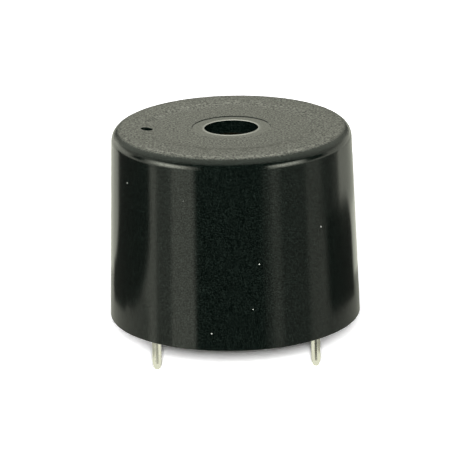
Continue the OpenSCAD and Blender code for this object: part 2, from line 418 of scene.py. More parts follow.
@dataclass(frozen=True)
class SparkedAbs(Finish):
    """ABS moulded against spark-eroded steel.

    Thousands of small pits scatter the light, so the real black turns to a grainy grey where it is seen at a
    low angle; here that grey is painted into the colour as painted sheen, the same from every angle. Real
    pits are about 0.05 mm wide, and are drawn coarser so that the grain shows. A painted highlight can lie
    as a pale ring round lip_highlight_r, and the pits can end between the two distances from the axis in
    pit_end_span, where the tone darkens partly as painted shade.
    """

    # The grain's tones: the grain is real, but its grey is painted sheen that stands in for the light the
    # pits scatter
    deep: str = "#13140f"
    pale: str = "#818278"
    grain: float = 0.19
    grain_height: float = 0.02
    roughness: Span = (0.45, 0.6)
    grain_span: Span = (0.33, 0.67)
    grain_detail: float = 0.6
    # A pale ring from lip_highlight_r out over lip_highlight_w is a painted highlight on the lip of the hole
    lip_highlight_r: float = 0.0
    lip_highlight_w: float = 0.3
    lip_highlight: str = "#9e9f94"
    # Span over which the pits end towards the edge; the darkening there is partly real and partly painted
    # shade
    pit_end_span: Span | None = None
    pit_end_tones: tuple[str, str] = ("#050907", "#1b221e")
    pit_end_roughness: float = 0.22
    ragged: float = 0.18

    def dress(self, tree: Tree, place: Socket) -> Inputs:
        """Adds the pits, their uneven gloss, the painted highlight on an edge and the end of the pits.

        Args:
            tree: Node tree of the material.
            place: Object coordinates, in metres.

        Returns:
            Inputs of the shader.
        """
        pits = node(tree, "TexNoise", {
            "Vector": place, "Scale": per_mm(self.grain), "Detail": 2.0, "Roughness": self.grain_detail})
        bump = node(tree, "Bump", {"Height": pits, "Distance": self.grain_height * MM})
        spread = node(tree, "MapRange", (pits, *self.grain_span))
        rough = node(tree, "MapRange", (spread, 0.0, 1.0, *self.roughness[::-1]))
        tone = node(tree, "Mix", {0: spread, 6: linear(self.deep), 7: linear(self.pale)}, data_type="RGBA")
        away = self.from_axis(tree, place)
        if self.lip_highlight_r:
            # Painted highlight: a pale ring where the hole's lip catches the light
            lip_highlight = node(tree, "MapRange", (away, self.lip_highlight_r * MM, (self.lip_highlight_r + self.lip_highlight_w) * MM, 1.0, 0.0),
                       interpolation_type="SMOOTHSTEP")
            tone = node(tree, "Mix", {0: lip_highlight, 6: tone, 7: linear(self.lip_highlight)}, data_type="RGBA")
        if self.pit_end_span:
            # The pits reach over the edge unevenly, so the grain shifts the distance at which they end
            reach = node(tree, "Math", (pits, -self.ragged * MM, away), operation="MULTIPLY_ADD")
            ends = [(end - self.ragged / 2) * MM for end in self.pit_end_span]
            # Towards the edge the tone darkens gradually: partly where the pits really end, partly painted
            # shade that keeps the tilted grain from lighting up
            pit_end_shade = node(tree, "MapRange", (reach, *ends), interpolation_type="SMOOTHSTEP")
            deep, pale = map(linear, self.pit_end_tones)
            dark = node(tree, "Mix", {0: spread, 6: deep, 7: pale}, data_type="RGBA")
            tone = node(tree, "Mix", {0: pit_end_shade, 6: tone, 7: dark}, data_type="RGBA")
            rough = node(tree, "Mix", {0: pit_end_shade, 2: rough, 3: self.pit_end_roughness})
        return {"Base Color": tone, "Roughness": rough, "Normal": bump, "IOR": ABS_IOR}


@dataclass(frozen=True)
class DrawnTin(Finish):
    """Tin plate on drawn wire: bright metal with fine lines along it that blur its reflections lengthwise.

    Real drawing lines are a few micrometres wide, and are drawn coarser so that they show.
    """

    colour: str = "#e6e4dc"
    dull: float = 0.88
    line: float = 0.07
    line_height: float = 0.002
    stretch: float = 0.03
    bloom: float = 0.6
    bloom_span: Span = (0.35, 0.65)
    roughness: Span = (0.14, 0.3)

    def dress(self, tree: Tree, place: Socket) -> Inputs:
        """Adds the drawing lines and a duller bloom.

        Args:
            tree: Node tree of the material.
            place: Object coordinates, in metres.

        Returns:
            Inputs of the shader.
        """
        along = node(tree, "Mapping", {"Vector": place, "Scale": (1.0, 1.0, self.stretch)})
        lines = node(tree, "TexNoise", {"Vector": along, "Scale": per_mm(self.line), "Detail": 2.0})
        bump = node(tree, "Bump", {"Height": lines, "Distance": self.line_height * MM})
        bloom = node(tree, "TexNoise", {"Vector": place, "Scale": per_mm(self.bloom), "Detail": 2.0})
        gloss = node(tree, "MapRange", (bloom, *self.bloom_span, *self.roughness))
        bright = linear(self.colour)
        dull = (*(self.dull * channel for channel in bright[:3]), 1.0)
        tone = node(tree, "Mix", {0: bloom, 6: dull, 7: bright}, data_type="RGBA")
        return {"Base Color": tone, "Roughness": gloss, "Normal": bump, "Metallic": 1.0}


@dataclass(frozen=True)
class Mottled(Finish):
    """A material whose tone, gloss and surface vary with one grain, such as resin, solder or lacquer."""

    pale: str = "#808080"
    deep: str = "#606060"
    grain: float = 0.5
    grain_height: float = 0.01
    stretch: tuple[float, float, float] = (1.0, 1.0, 1.0)
    roughness: Span = (0.4, 0.5)
    metallic: float = 0.0
    ior: float = 1.5

    def dress(self, tree: Tree, place: Socket) -> Inputs:
        """Adds the grain to the tone, the gloss and the surface.

        Args:
            tree: Node tree of the material.
            place: Object coordinates, in metres.

        Returns:
            Inputs of the shader, of which a metal leaves its IOR alone.
        """
        along = node(tree, "Mapping", {"Vector": place, "Scale": self.stretch})
        grain = node(tree, "TexNoise", {"Vector": along, "Scale": per_mm(self.grain), "Detail": 3.0})
        bump = node(tree, "Bump", {"Height": grain, "Distance": self.grain_height * MM})
        gloss = node(tree, "MapRange", (grain, *NOISE_SPAN, *self.roughness))
        spread = node(tree, "MapRange", (grain, *NOISE_SPAN))
        tone = node(tree, "Mix", {0: spread, 6: linear(self.deep), 7: linear(self.pale)}, data_type="RGBA")
        given = {"Base Color": self.printed(tree, tone, place), "Roughness": gloss, "Normal": bump,
                 "Metallic": self.metallic}
        return given if self.metallic else given | {"IOR": self.ior}

    def printed(self, tree: Tree, tone: Node, place: Socket) -> Node:
        """Returns the tone with anything printed over it, which is nothing here."""
        return tone


@dataclass(frozen=True)
class BandedLacquer(Mottled):
    """Lacquer on a resistor, with its colour bands painted round it at right angles to X."""

    bands: tuple[str, ...] = ()
    middles: tuple[float, ...] = (-1.1, -0.4, 0.2, 1.1)
    width: float = 0.35

    def printed(self, tree: Tree, tone: Node, place: Socket) -> Node:
        """Paints each band where X is within half its width of its middle.

        Args:
            tree: Node tree of the material.
            tone: Colour of the lacquer.
            place: Object coordinates, in metres.

        Returns:
            Colour with the bands on it.
        """
        along = node(tree, "SeparateXYZ", [place]).outputs["X"]
        for middle, code in zip(self.middles, self.bands):
            band = node(tree, "Math", (along, middle * MM, self.width * MM / 2), operation="COMPARE")
            tone = node(tree, "Mix", {0: band, 6: tone, 7: linear(code)}, data_type="RGBA")
        return tone


@dataclass(frozen=True)
class SilveredCeramic(Mottled):
    """Fired ceramic with a silver coat printed on it up to a bare margin."""

    silver: str = "#cfd0cc"
    coat_r: float = 6.1

    def printed(self, tree: Tree, tone: Node, place: Socket) -> Node:
        """Prints the silver where the distance from the axis is under the coat's radius.

        Args:
            tree: Node tree of the material.
            tone: Colour of the ceramic.
            place: Object coordinates, in metres.

        Returns:
            Colour with the silver on it.
        """
        coat = node(tree, "Math", (self.from_axis(tree, place), self.coat_r * MM), operation="LESS_THAN")
        return node(tree, "Mix", {0: coat, 6: tone, 7: linear(self.silver)}, data_type="RGBA")


# Sub-assemblies

# Loops round the polarity dot. The first blend from the grid to the dot, by these shares of the way. The
# next go over its edge, each given by how far it lies outside the dot's wall and how far below the top.
# The last go down to its floor, given by how far they lie outside the wall and how far above the floor.
# All lengths are in millimetres.
DOT_BLEND = np.array([0.4, 0.75])
DOT_EDGE = np.array([[0.12, 0.0], [0.05, 0.0], [0.035, 0.0], [0.01, 0.01], [0.0, 0.035], [0.0, 0.07]])
DOT_FOOT = np.array([[0.0, 0.12], [0.0, 0.1], [-0.03, 0.03], [-0.1, 0.0], [-0.25, 0.0]])
# Rings of faces round the dot, from the grid inwards, that still have the top's texture
DOT_SPARKED = 4
# Half the window in the grid round the dot, in millimetres outwards and in columns
DOT_WINDOW = 0.8
DOT_COLUMNS = 4
# The dot's rows start this far outside the dish, in millimetres
DOT_CLEAR = 0.1


@dataclass
class Case:
    """The moulded case: drafted side, rounded edge, dished top with sound hole and polarity dot, inside."""

    rim_r: float
    height: float
    mouth_r: float
    top_r: float = 11.3
    edge: float = 1.25
    grain_turn: float = 60.0
    wall: float = 1.2
    roof: float = 1.6
    ledge_z: float = 1.6
    hole_r: float = 2.55
    lip_w: float = 0.12
    lip_h: float = 0.05
    lip_foot: float = 0.05
    dish_r: float = 3.7
    dish_depth: float = 0.1
    step_w: float = 0.06
    floor_r: float = 7.1
    # Drawn 0.05 mm deeper than the solid has it, so that the slope round the floor shows
    floor_depth: float = 0.17
    slope_w: float = 1.3
    ring_in: float = 4.8
    ring_out: float = 5.6
    ring_h: float = 2.6
    dot: Span = (-7.95, -0.5)
    dot_r: float = 0.525
    dot_depth: float = 0.7
    columns: int = 240
    longest: float = 1.5

    @classmethod
    def from_frame(cls) -> "Case":
        """Returns the case with its rim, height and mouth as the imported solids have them."""
        (low, high), bead = (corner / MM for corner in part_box("case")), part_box("seal_bead")[1] / MM
        return cls(min(-low.x, high.x), high.z, bead.x)

    @property
    def roof_z(self) -> float:
        """Height of the roof's underside."""
        return self.height - self.roof

    @property
    def floor_z(self) -> float:
        """Height of the top's shallow floor."""
        return self.height - self.floor_depth

    @property
    def dish_z(self) -> float:
        """Height of the dish round the sound hole."""
        return self.floor_z - self.dish_depth

    @property
    def flat_end(self) -> float:
        """Radius at which the flat top ends and the rounded edge starts, for the side's draft angle."""
        draft = math.atan((self.rim_r - self.top_r) / self.height)
        return self.top_r - self.edge / math.tan(math.pi / 4 + draft / 2)

    def side_r(self, z: float) -> float:
        """Radius of the drafted side at a height."""
        return self.rim_r - (self.rim_r - self.top_r) * z / self.height

    def profile(self) -> np.ndarray:
        """Profile of the case from the sound hole over the top, down the side, and back up inside.

        Returns:
            Rows of radius and height, in millimetres, as a closed loop.
        """
        lip_z, lip_r = self.dish_z + self.lip_h, self.hole_r + self.lip_w
        ring_z = self.roof_z - self.ring_h
        corners = np.array([
            [self.hole_r, self.roof_z, 0.1],
            [self.hole_r, lip_z, 0.04],
            [lip_r, lip_z, 0.04],
            [lip_r + self.lip_foot, self.dish_z, 0.03],
            [self.dish_r - self.step_w / 2, self.dish_z, 0.02],
            [self.dish_r + self.step_w / 2, self.floor_z, 0.02],
            [self.floor_r, self.floor_z, 4.0],
            [self.floor_r + self.slope_w, self.height, 4.0],
            [self.top_r, self.height, self.edge],
            [self.rim_r, 0.0, 0.08],
            [self.mouth_r, 0.0, 0.1],
            [self.mouth_r, self.ledge_z, 0.05],
            [self.side_r(self.ledge_z) - self.wall, self.ledge_z, 0.05],
            [self.side_r(self.roof_z) - self.wall, self.roof_z, 0.3],
            [self.ring_out, self.roof_z, 0.15],
            [self.ring_out, ring_z, 0.1],
            [self.ring_in, ring_z, 0.1],
            [self.ring_in, self.roof_z, 0.15],
        ])
        return divided(rounded(corners, closed=True), self.longest)

    def strips(self, rows: np.ndarray) -> np.ndarray:
        """Chooses the finish of each strip between two rows of the profile, by where its middle lies.

        Args:
            rows: Rows of radius and height.

        Returns:
            A number of Face for each strip.
        """
        radius, height = ((rows + np.roll(rows, -1, 0)) / 2).T
        grain_z = self.height - self.edge * (1 - math.cos(math.radians(self.grain_turn)))
        dish = (height > self.dish_z - TINY) & (radius < self.dish_r - self.step_w / 2)
        outer = (height > min(self.floor_z, grain_z) - TINY) & (radius > self.dish_r + self.step_w / 2)
        sparked = outer & ((radius < self.flat_end) | (height > grain_z))
        return np.select([dish, sparked], [int(Face.SATIN), int(Face.SPARKED)], int(Face.POLISHED))

    def build(self, finishes: dict[Face, Material]) -> Object:
        """Builds the case with the polarity dot as a blind hole in its top.

        The profile is carried round the axis. Over the dot, a window of the grid is left out. Loops blend
        from the window's border to the dot's circle as border * (1 - s) + circle * s, keep to the height of
        the top, then go over the dot's edge, down its wall and across its floor.

        Args:
            finishes: Material for each finish of the case.

        Returns:
            The case.
        """
        rows = self.profile()
        points = turned(rows, self.columns)
        index = np.arange(len(points)).reshape(len(rows), self.columns)

        # Window of the grid over the dot, among the top's rows between the dish and the rounded edge
        top = ((rows[:, 1] > self.floor_z - 10 * TINY) & (rows[:, 0] > self.dish_r + DOT_CLEAR)
               & (rows[:, 0] < self.flat_end))
        inside = np.flatnonzero(top & (np.abs(rows[:, 0] - math.hypot(*self.dot)) < DOT_WINDOW))
        low, high = inside.min(), inside.max()
        turn = math.atan2(self.dot[1], self.dot[0]) % (2 * math.pi)
        column = round(turn / (2 * math.pi) * self.columns)
        left, right = column - DOT_COLUMNS, column + DOT_COLUMNS
        shut = np.ones(index.shape, bool)
        shut[low:high, left:right] = False
        kept = between(index, np.roll(index, -1, 0))[shut.ravel()]
        which = np.broadcast_to(self.strips(rows)[:, None], index.shape)[shut]

        # Loops from the window's border to the dot and down to its floor
        border = np.concatenate([index[low, left:right], index[low:high, right],
                                 index[high, right:left:-1], index[high:low:-1, left]])
        away = points[border, :2] - self.dot
        aim = away / np.linalg.norm(away, axis=1, keepdims=True)
        reach = self.dot_r + np.concatenate([DOT_EDGE, DOT_FOOT])[:, 0, None, None]
        share = DOT_BLEND[:, None, None]
        plan = np.concatenate([away * (1 - share) + aim * reach[0] * share, aim * reach]) + self.dot
        lift = np.interp(np.hypot(plan[..., 0], plan[..., 1]), rows[top, 0], rows[top, 1])
        bottom = self.floor_z - self.dot_depth
        lift[len(DOT_BLEND):-len(DOT_FOOT)] -= DOT_EDGE[:, 1:]
        lift[-len(DOT_FOOT):] = bottom + DOT_FOOT[:, 1:]
        loops = np.vstack([border, len(points) + np.arange(lift.size).reshape(lift.shape)])
        points = np.concatenate([points, np.dstack([plan, lift]).reshape(-1, 3), [[*self.dot, bottom]]])
        walls = between(loops[:-1], loops[1:])
        end = fan(loops[-1], len(points) - 1)
        dot_faces = np.full(len(walls) + len(end), int(Face.POLISHED))
        dot_faces[:DOT_SPARKED * len(border)] = Face.SPARKED
        made = piece("case_shell", points, [kept, walls, end], [finishes[face] for face in Face], Slot.CASE,
                     np.concatenate([which, dot_faces]))
        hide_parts("case")
        return made


@dataclass
class BoardRibs:
    """Four ribs on the case's inside, whose lower ends stop the circuit board."""

    inner: float = 9.25
    outer: float = 10.88
    width: float = 1.0
    low: float = 4.6
    high: float = 16.9
    corner: float = 0.15
    end: float = 0.1
    steps: int = 6

    def build(self, finish: Material) -> Object:
        """Carries a rounded rectangle up each rib.

        The section's point at angle a is the nearest corner's centre plus the corner's radius along a. The
        four ribs stand at 45 degrees and every 90 degrees from there.

        Args:
            finish: Material of the ribs.

        Returns:
            The ribs as one piece.
        """
        turn = np.radians([45, 135, 225, 315])
        angle = np.radians((np.arange(4)[:, None] * 90 + np.linspace(0, 90, self.steps)).ravel())
        quarter = np.repeat(turn, self.steps)
        half = np.array([(self.outer - self.inner) / 2, self.width / 2]) - self.corner
        section = np.stack([np.sign(np.cos(quarter)) * half[0] + self.corner * np.cos(angle),
                            np.sign(np.sin(quarter)) * half[1] + self.corner * np.sin(angle)], axis=1)
        section[:, 0] += (self.inner + self.outer) / 2
        spin = np.stack([np.stack([np.cos(turn), np.sin(turn)], 1),
                         np.stack([-np.sin(turn), np.cos(turn)], 1)], 1)
        plan = np.einsum("pk,tkj->tpj", section, spin)[:, None]
        height = np.array([self.low, self.low + self.end, self.high - self.end, self.high])[:, None, None]
        shape = (4, len(height), len(section))
        points = np.concatenate([np.broadcast_to(plan, (*shape, 2)), np.broadcast_to(height, (*shape, 1))],
                                axis=3)
        loops = np.arange(math.prod(shape)).reshape(shape)
        walls = between(loops[:, :-1].reshape(-1, shape[2]), loops[:, 1:].reshape(-1, shape[2]))
        return piece("board_ribs", points.reshape(-1, 3), [walls, loops[:, 0, ::-1], loops[:, -1]], [finish],
                     Slot.CASE)


@dataclass
class Pin:
    """A solder pin: tapered tip, round shank, thicker part in the base plate and a head on the board."""

    node: str
    x: float
    tip_z: float
    top_z: float
    head_r: float
    base_z: float
    tip_r: float = 0.25
    tip_len: float = 0.6
    shank_r: float = 0.45
    shoulder_r: float = 0.65
    head_t: float = 0.4
    columns: int = 64

    @classmethod
    def from_frame(cls, name: str) -> "Pin":
        """Takes the pin's place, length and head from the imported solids.

        Args:
            name: Node of the pin.

        Returns:
            The pin.
        """
        low, high = (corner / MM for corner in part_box(name))
        middle, head_r, base_z = (low.x + high.x) / 2, (high.x - low.x) / 2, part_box("base_plate")[0].z / MM
        return cls(name, middle, low.z, high.z, head_r, base_z)

    def build(self, finish: Material) -> Object:
        """Carries the pin's rounded profile round its axis and closes both ends with a fan.

        Args:
            finish: Material of the pin.

        Returns:
            The pin.
        """
        board_top = self.top_z - self.head_t
        rows = rounded(np.array([
            [0.0, self.tip_z, 0.0],
            [self.tip_r, self.tip_z, 0.18],
            [self.shank_r, self.tip_z + self.tip_len, 1.2],
            [self.shank_r, self.base_z, 0.03],
            [self.shoulder_r, self.base_z, 0.03],
            [self.shoulder_r, board_top, 0.05],
            [self.head_r, board_top, 0.08],
            [self.head_r, self.top_z, 0.08],
            [0.0, self.top_z, 0.0],
        ]), closed=False)
        points = turned(rows[1:-1], self.columns, self.x)
        count = len(points)
        loops = np.arange(count).reshape(-1, self.columns)
        ends = np.array([[self.x, 0.0, self.tip_z], [self.x, 0.0, self.top_z]])
        faces = [between(loops[:-1], loops[1:]), fan(loops[0, ::-1], count), fan(loops[-1], count + 1)]
        made = piece(self.node + "_turned", np.vstack([points, ends]), faces, [finish], Slot.PIN)
        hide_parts(self.node)
        return made


@dataclass
class SealBead:
    """Bead of resin in the corner of the case's mouth, with the hollow face that surface tension gives."""

    mouth_r: float
    low: float
    base_z: float
    width: float = 0.5
    steps: int = 10
    columns: int = 180

    @classmethod
    def from_frame(cls) -> "SealBead":
        """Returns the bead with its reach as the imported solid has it."""
        low, high = (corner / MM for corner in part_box("seal_bead"))
        return cls(high.x, low.z, high.z)

    def build(self, finish: Material) -> Object:
        """Carries a three-cornered section round the mouth.

        Its free face is the ellipse's quarter that touches the base plate and the mouth's wall:
        r = mouth - width * (1 - sin t), z = base - height * (1 - cos t).

        Args:
            finish: Material of the resin.

        Returns:
            The bead.
        """
        t = np.linspace(0, math.pi / 2, self.steps)
        radius = self.mouth_r - self.width * (1 - np.sin(t))
        height = self.base_z - (self.base_z - self.low) * (1 - np.cos(t))
        rows = np.vstack([np.stack([radius, height], axis=1), [[self.mouth_r, self.base_z]]])
        points = turned(rows, self.columns)
        loops = np.arange(len(points)).reshape(-1, self.columns)
        made = piece("seal_bead_cast", points, [between(loops, np.roll(loops, -1, 0))], [finish], Slot.SEAL)
        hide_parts("seal_bead")
        return made


@dataclass
class Inside:
    """The pieces that keep the frame's solids and get a finish here: base plate, board and sounder."""

    nodes: dict[str, Object]

    def finishes(self) -> dict[str, Finish]:
        """Chooses the finishes.

        Returns:
            The finish of each piece, by its node.
        """
        # A thin tin coat keeps the fine drawing lines of the copper under it
        wire = DrawnTin("copper_wire_tinned", line=0.05)
        # Solder that has flowed sets bright, with frosted patches
        solder = Mottled("tin_solder_flowed", "#c3c5c2", "#8f918f", 0.4, 0.02, roughness=(0.22, 0.42),
                         metallic=1.0)
        red, black, brown, orange, gold = "#a8302a", "#1b1b1b", "#5a3a24", "#c8692a", "#b08a3c"
        chosen: dict[str, Finish] = {
            # A fine eroded finish leaves the plate dull and even
            "base_plate": SparkedAbs("abs_moulded_fine_matt_plate", "#191a18", "#262725", 0.15, 0.006),
            # Brown resin shows the paper's fibres as pale streaks
            "circuit_board": Mottled("phenolic_paper_laminate_punched", "#b5834a", "#8a5a2c", 0.35, 0.006,
                                     (0.25, 1.0, 1.0), (0.35, 0.5)),
            "solder_joints": solder,
            "piezo_solder": solder,
            # Transfer-moulded epoxy is dull black with a faint grit of its filler
            "transistor_body": Mottled("epoxy_moulded_filled", "#262626", "#191919", 0.15, 0.008,
                                       roughness=(0.4, 0.55)),
            "transistor_leads": wire,
            "resistor_leads": wire,
            # Rolling leaves fine lines one way along the sheet
            "diaphragm": Mottled("brass_sheet_rolled", "#cfa956", "#b48a3c", 0.1, 0.002, (0.05, 1.0, 1.0),
                                 (0.2, 0.34), metallic=1.0),
            # Fired ceramic is chalky where the silver leaves it bare
            "piezo_ceramic": SilveredCeramic("ceramic_fired_silvered", "#e8e4d8", "#d6d0c0", 0.3, 0.006,
                                             roughness=(0.4, 0.55)),
            # Silicone sets with a soft, slightly uneven skin
            "glue_ring": Mottled("silicone_cured", "#e0ded6", "#cbc9c0", 0.8, 0.03, roughness=(0.3, 0.45),
                                 ior=1.41),
        }
        # Dipped lacquer runs out unevenly under the painted bands
        for name, bands in (("bias", (brown, black, orange, gold)), ("base", (red, red, orange, gold)),
                            ("load", (brown, black, red, gold))):
            chosen[name + "_resistor"] = BandedLacquer("lacquer_banded_" + name, "#d0bd92", "#b59f72", 0.4,
                                                       roughness=(0.3, 0.45), bands=bands)
        # Extruded PVC has faint draw lines along the wire
        for name, colour, pale, deep in (("drive", "red", "#b5352d", "#962720"),
                                         ("feedback", "white", "#deded8", "#c8c8c2"),
                                         ("ground", "black", "#282828", "#1a1a1a")):
            chosen[name + "_wire"] = Mottled("pvc_extruded_" + colour, pale, deep, 0.3, 0.006,
                                             (1.0, 1.0, 0.1), (0.3, 0.42))
        return chosen

    def dress(self) -> None:
        """Puts its material on every slot of each piece.

        Pieces with the same finish share one material.
        """
        finishes = self.finishes()
        made = {finish.name: finish.make() for finish in finishes.values()}
        for name, finish in finishes.items():
            for slot in self.nodes[name].material_slots:
                slot.material = made[finish.name]
            LOG.info("%s: %s", name, finish.name)


# Studio


@dataclass(frozen=True)
class Card:
    """A card on the floor that only reflections see, so that it shades an upright band of a round surface.

    The band is given by the angles at which it stands on the surface, from its middle towards +X as the
    camera sees it, and the card by how far it lies from the surface, in millimetres. Its corners are
    rounded in the order start and end of the near side, then start and end of the far side.
    """

    name: str
    start: float
    end: float
    near: float
    far: float
    level: float
    soft: float = 2.5
    corners: tuple[float, float, float, float] = (3.0, 3.0, 3.0, 3.0)
    layer: int = 0
    x: float = 0.0
    radius: float = 11.5
    facing: float = 0.0


@dataclass(frozen=True)
class Panel:
    """A pale panel round the buzzer that only reflections see, so that it lies as a highlight on the edge.

    It is given by the azimuths and elevations that it covers, in degrees, and by how many of them it fades
    over at its sides and at its top and foot.
    """

    name: str
    start: float
    end: float
    low: float
    high: float
    level: float
    soft: Span
    distance: float = 400.0


@dataclass(frozen=True)
class Softbox:
    """A soft lamp that faces the buzzer, with the light that it gives there and no mirror image."""

    name: str
    azimuth: float
    elevation: float
    distance: float
    size: Span
    light: float


CARDS = (
    Card("front_flag", -18.3, 17.2, 8, 1500, 0.05),
    Card("left_grey", -38.5, -30.0, 10, 170, 0.42, 1.5),
    Card("left_flag", -76.0, -42.3, 27.5, 150, 0.06, 2.0, (1.5, 16.0, 1.5, 1.5), 2),
    Card("left_low_flag", -75.0, -59.0, 24.5, 40, 0.06, 2.5, (1.5, 4.0, 1.5, 1.5), 4),
    Card("left_foot", -95.0, -43.0, 0, 36, 0.5, 3.0),
    Card("left_rear", -95.0, -80.0, 0, 48, 0.5, 4.0, layer=1),
    Card("left_edge", -96.0, -69.0, 33, 170, 0.9, 3.0, (1.5, 13.0, 1.5, 1.5), 3),
    Card("right_grey", 14.0, 55.0, 10, 170, 0.22, layer=1),
    Card("right_near_strip", 17.5, 22.3, 10, 170, 0.5, 3.5, layer=2),
    Card("right_far_strip", 36.6, 47.0, 10, 170, 0.5, 3.0, layer=2),
    Card("right_upper_flag", 44.6, 60.0, 60, 170, 0.17, 4.0, layer=2),
    Card("right_flag", 49.0, 73.3, 25, 64.5, 0.05, 1.5, (3.0, 1.5, 3.0, 9.5), 4),
    Card("right_foot", 47.0, 95.0, 0, 32, 0.4, 3.0, layer=3),
    Card("right_rear", 66.0, 84.0, 57, 170, 0.64, 12.0, layer=2),
    Card("back_flag", -9.0, 9.0, 18, 110, 0.1, facing=180.0),
    Card("left_pin_flag", -9.0, 20.0, 0.6, 18, 0.4, 5.0, layer=4, x=-7.62, radius=0.45),
    Card("left_pin_rear", 58.0, 95.0, 0.2, 18, 0.5, 8.0, layer=4, x=-7.62, radius=0.45),
    Card("right_pin_flag", -14.0, 14.0, 0.6, 18, 0.1, 5.0, layer=4, x=7.62, radius=0.45),
    Card("right_pin_rear", -95.0, -60.0, 0.2, 18, 0.5, 8.0, layer=4, x=7.62, radius=0.45),
)

PANELS = (
    Panel("left_panel", -79.0, -43.5, -1.0, 19.0, 6.6, (33.0, 14.0)),
    Panel("left_rear_panel", -150.0, -108.0, -2.0, 12.0, 1.35, (12.0, 8.0)),
    Panel("right_panel", 37.0, 68.0, 0.0, 18.0, 5.4, (18.0, 12.0)),
    Panel("right_rear_panel", 97.0, 150.0, -2.0, 12.0, 0.9, (12.0, 8.0)),
)

SOFTBOXES = (
    Softbox("front_fill", 0.0, 20.5, 0.6, (0.08, 0.05), 4.6),
    Softbox("back_fill", -150.0, 72.0, 0.055, (0.06, 0.03), 0.96),
)


